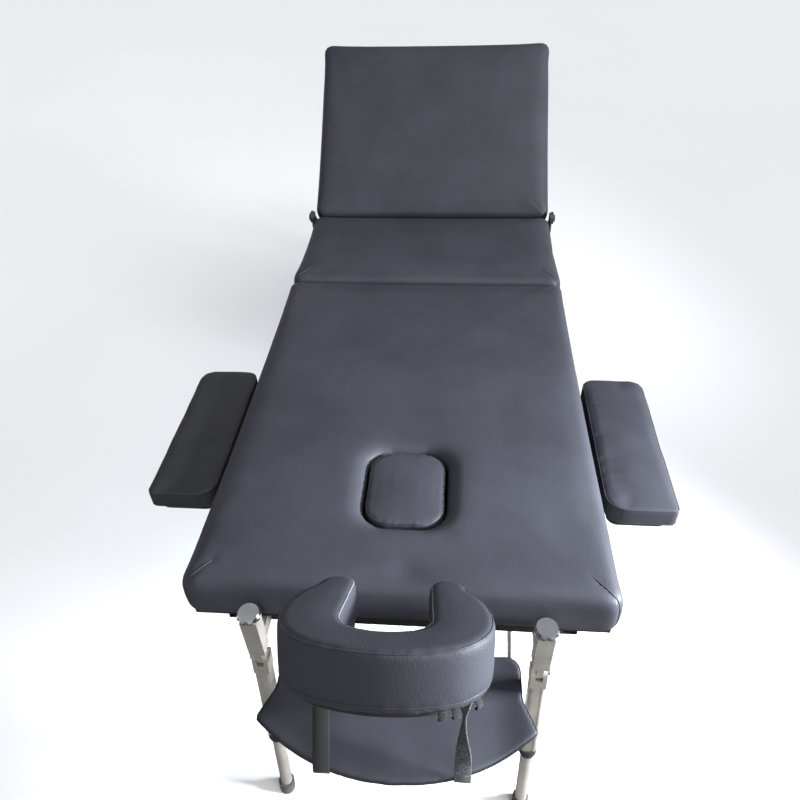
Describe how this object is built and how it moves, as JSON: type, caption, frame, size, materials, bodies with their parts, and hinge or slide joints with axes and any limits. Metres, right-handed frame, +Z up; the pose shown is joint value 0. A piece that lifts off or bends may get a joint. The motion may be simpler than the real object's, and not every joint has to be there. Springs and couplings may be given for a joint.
{
  "type": "folding massage table",
  "caption": "Padded folding massage table in sections with a raised back, face hole plug, armrests, tilting headrest and hung arm shelf on splayed metal legs.",
  "frame": {"origin": "on the floor, under the middle of the whole part's bounding box", "axes": "+X to the right seen from the headrest end, +Y from the headrest towards the raised back, +Z up"},
  "size_m": [0.932, 2.1376, 0.9],
  "materials": {
    "vinyl": "padded vinyl, soft sheen, fine grain",
    "board": "plywood, stained black",
    "black_frame": "black anodised, satin",
    "black_steel": "blackened",
    "aluminium": "satin",
    "chrome": "polished",
    "steel": "zinc plated",
    "black_plastic": "black, satin",
    "rubber": "matt",
    "webbing": "woven webbing"
  },
  "bodies": {
    "near_half": {"near_side_rails": "black_frame", "near_cross_rails": "black_frame", "near_board": "board", "near_pad": "vinyl", "near_leg_brackets": "aluminium", "near_stay_brackets": "steel", "fold_hinge_forks": "steel", "fold_hinge_pins": "steel", "near_sockets": "black_plastic"},
    "far_half": {"far_side_rails": "black_frame", "far_cross_rails": "black_frame", "mid_board": "board", "mid_pad": "vinyl", "far_leg_brackets": "aluminium", "far_stay_brackets": "steel", "fold_hinge_tongues": "steel", "far_sockets": "black_plastic", "back_ratchet_fixed": "black_steel", "back_ratchet_pins": "black_steel"},
    "backrest": {"back_board": "board", "back_pad": "vinyl", "back_ratchet_moving": "black_steel"},
    "plug": {"face_plug": "vinyl"},
    "armrest_left": {"armrest_cushion_left": "vinyl", "armrest_board_left": "board", "armrest_rods_left": "steel"},
    "armrest_right": {"armrest_cushion_right": "vinyl", "armrest_board_right": "board", "armrest_rods_right": "steel"},
    "headrest_carrier": {"headrest_base": "steel", "arm_shelf": "vinyl", "shelf_straps": "webbing"},
    "headrest": {"headrest_cushion": "vinyl", "headrest_plate": "board"},
    "headrest_cam": {"headrest_lever": "black_plastic"},
    "near_leg_pair": {"near_legs": "aluminium", "near_leg_pins": "steel", "near_leg_collars": "black_plastic", "near_leg_crossbar": "aluminium"},
    "near_stay_low": {"near_stay_lower": "aluminium"},
    "near_stay_high": {"near_stay_upper": "aluminium"},
    "near_foot_left": {"near_foot_tube_left": "aluminium", "near_foot_left": "rubber"},
    "near_knob_left": {"near_leg_knob_left": "chrome"},
    "near_foot_right": {"near_foot_tube_right": "aluminium", "near_foot_right": "rubber"},
    "near_knob_right": {"near_leg_knob_right": "chrome"},
    "far_leg_pair": {"far_legs": "aluminium", "far_leg_pins": "steel", "far_leg_collars": "black_plastic", "far_leg_crossbar": "aluminium"},
    "far_stay_low": {"far_stay_lower": "aluminium"},
    "far_stay_high": {"far_stay_upper": "aluminium"},
    "far_foot_left": {"far_foot_tube_left": "aluminium", "far_foot_left": "rubber"},
    "far_knob_left": {"far_leg_knob_left": "chrome"},
    "far_foot_right": {"far_foot_tube_right": "aluminium", "far_foot_right": "rubber"},
    "far_knob_right": {"far_leg_knob_right": "chrome"}
  },
  "joints": [
    {"name": "table_fold", "type": "hinge", "parent": "near_half", "child": "far_half", "pos_m": [0, 0.06135, 0.351], "axis": [-1, 0, 0], "range_deg": [0, 180]},
    {"name": "near_leg_fold", "type": "hinge", "parent": "near_half", "child": "near_leg_pair", "pos_m": [0, -0.87265, 0.393], "axis": [1, 0, 0], "range_deg": [0, 98]},
    {"name": "near_stay_low_turn", "type": "hinge", "parent": "near_leg_pair", "child": "near_stay_low", "pos_m": [0, -0.89909, 0.20485], "axis": [-1, 0, 0], "range_deg": [0, 126.88]},
    {"name": "near_stay_high_turn", "type": "hinge", "parent": "near_half", "child": "near_stay_high", "pos_m": [0, -0.55065, 0.397], "axis": [1, 0, 0], "range_deg": [0, 151.12]},
    {"name": "near_foot_left_extend", "type": "slide", "parent": "near_leg_pair", "child": "near_foot_left", "axis": [0, -0.1392, -0.9903], "range_m": [0, 0.13]},
    {"name": "near_knob_left_turn", "type": "hinge", "parent": "near_half", "child": "near_knob_left", "pos_m": [-0.222, -0.87265, 0.505], "axis": [0, 0, 1], "continuous": true},
    {"name": "near_foot_right_extend", "type": "slide", "parent": "near_leg_pair", "child": "near_foot_right", "axis": [0, -0.1392, -0.9903], "range_m": [0, 0.13]},
    {"name": "near_knob_right_turn", "type": "hinge", "parent": "near_half", "child": "near_knob_right", "pos_m": [0.222, -0.87265, 0.505], "axis": [0, 0, 1], "continuous": true},
    {"name": "far_leg_fold", "type": "hinge", "parent": "far_half", "child": "far_leg_pair", "pos_m": [0, 0.99535, 0.393], "axis": [-1, 0, 0], "range_deg": [0, 98]},
    {"name": "far_stay_low_turn", "type": "hinge", "parent": "far_leg_pair", "child": "far_stay_low", "pos_m": [0, 1.02179, 0.20485], "axis": [1, 0, 0], "range_deg": [0, 126.88]},
    {"name": "far_stay_high_turn", "type": "hinge", "parent": "far_half", "child": "far_stay_high", "pos_m": [0, 0.67335, 0.397], "axis": [-1, 0, 0], "range_deg": [0, 151.12]},
    {"name": "far_foot_left_extend", "type": "slide", "parent": "far_leg_pair", "child": "far_foot_left", "axis": [0, 0.1392, -0.9903], "range_m": [0, 0.13]},
    {"name": "far_knob_left_turn", "type": "hinge", "parent": "far_half", "child": "far_knob_left", "pos_m": [-0.222, 0.99535, 0.505], "axis": [0, 0, 1], "continuous": true},
    {"name": "far_foot_right_extend", "type": "slide", "parent": "far_leg_pair", "child": "far_foot_right", "axis": [0, 0.1392, -0.9903], "range_m": [0, 0.13]},
    {"name": "far_knob_right_turn", "type": "hinge", "parent": "far_half", "child": "far_knob_right", "pos_m": [0.222, 0.99535, 0.505], "axis": [0, 0, 1], "continuous": true},
    {"name": "back_raise", "type": "hinge", "parent": "far_half", "child": "backrest", "pos_m": [0, 0.42635, 0.531], "axis": [1, 0, 0], "range_deg": [-42.8, 17.2]},
    {"name": "plug_lift", "type": "slide", "parent": "near_half", "child": "plug", "axis": [0, 0, 1], "range_m": [0, 0.12]},
    {"name": "armrest_left_pull", "type": "slide", "parent": "near_half", "child": "armrest_left", "axis": [-1, 0, 0], "range_m": [0, 0.12]},
    {"name": "armrest_right_pull", "type": "slide", "parent": "near_half", "child": "armrest_right", "axis": [1, 0, 0], "range_m": [0, 0.12]},
    {"name": "headrest_pull", "type": "slide", "parent": "near_half", "child": "headrest_carrier", "axis": [0, -1, 0], "range_m": [0, 0.1]},
    {"name": "headrest_tilt", "type": "hinge", "parent": "headrest_carrier", "child": "headrest", "pos_m": [0, -0.92265, 0.525], "axis": [-1, 0, 0], "range_deg": [-47, 13]},
    {"name": "headrest_lever_turn", "type": "hinge", "parent": "headrest_carrier", "child": "headrest_cam", "pos_m": [0, -0.92265, 0.525], "axis": [-1, 0, 0], "range_deg": [0, 75]}
  ],
  "couplings": [
    {"joint": "near_leg_fold", "follows": "table_fold", "ratio": 0.54444},
    {"joint": "near_stay_low_turn", "follows": "table_fold", "ratio": 0.70486},
    {"joint": "near_stay_high_turn", "follows": "table_fold", "ratio": 0.83958},
    {"joint": "far_leg_fold", "follows": "table_fold", "ratio": 0.54444},
    {"joint": "far_stay_low_turn", "follows": "table_fold", "ratio": 0.70486},
    {"joint": "far_stay_high_turn", "follows": "table_fold", "ratio": 0.83958}
  ]
}
